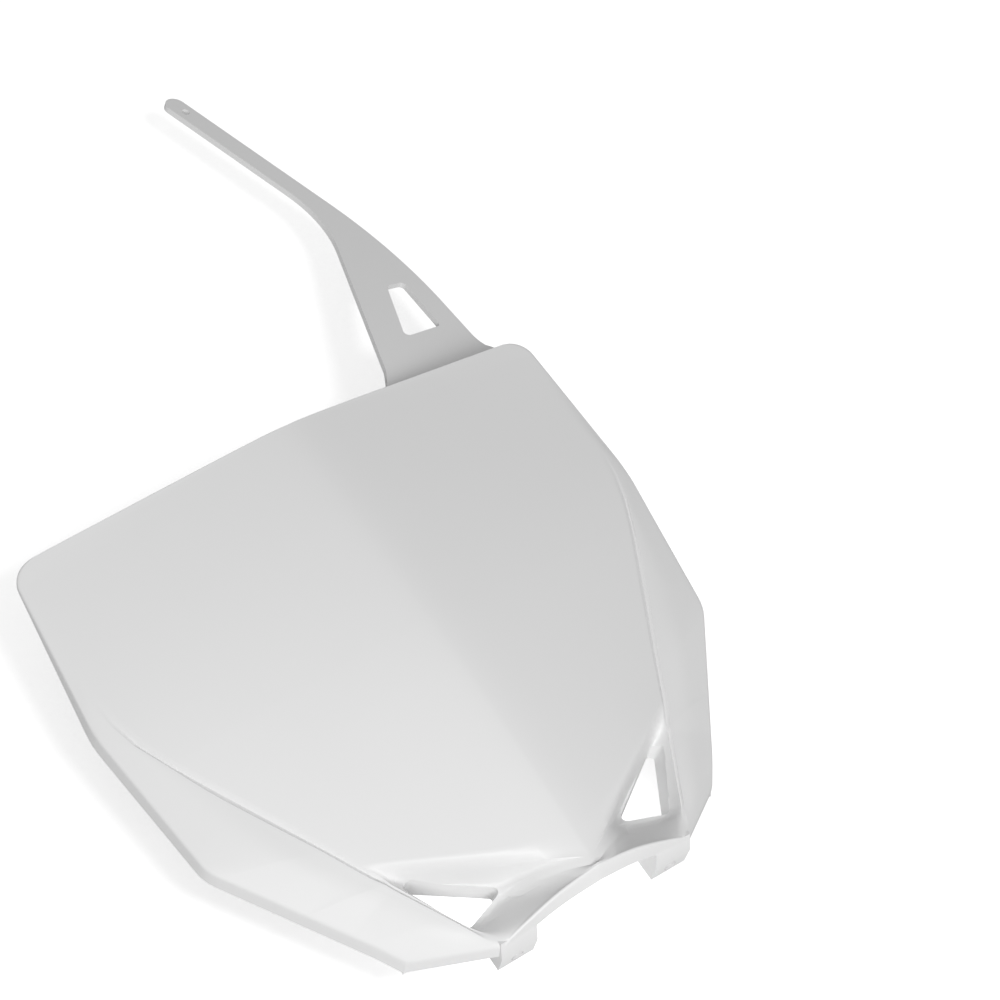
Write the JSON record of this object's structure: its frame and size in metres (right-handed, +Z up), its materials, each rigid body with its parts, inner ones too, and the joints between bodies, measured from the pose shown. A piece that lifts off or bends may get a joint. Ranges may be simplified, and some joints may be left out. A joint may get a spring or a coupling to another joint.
{
  "type": "front number board",
  "caption": "Front number board of a small off-road motorbike: creased shield with side wings, lower vents, fixing feet and a long upper strap.",
  "frame": {"origin": "midway between the two lower fixing holes, on the undersides of the feet", "axes": "+Z up along the fork, -Y forward, +X to the right of someone facing the board"},
  "size_m": [0.284, 0.0499, 0.4785],
  "materials": {
    "white_plastic": "moulded polypropylene with a soft sheen"
  },
  "bodies": {
    "root": {"number_board": "white_plastic"}
  },
  "joints": []
}
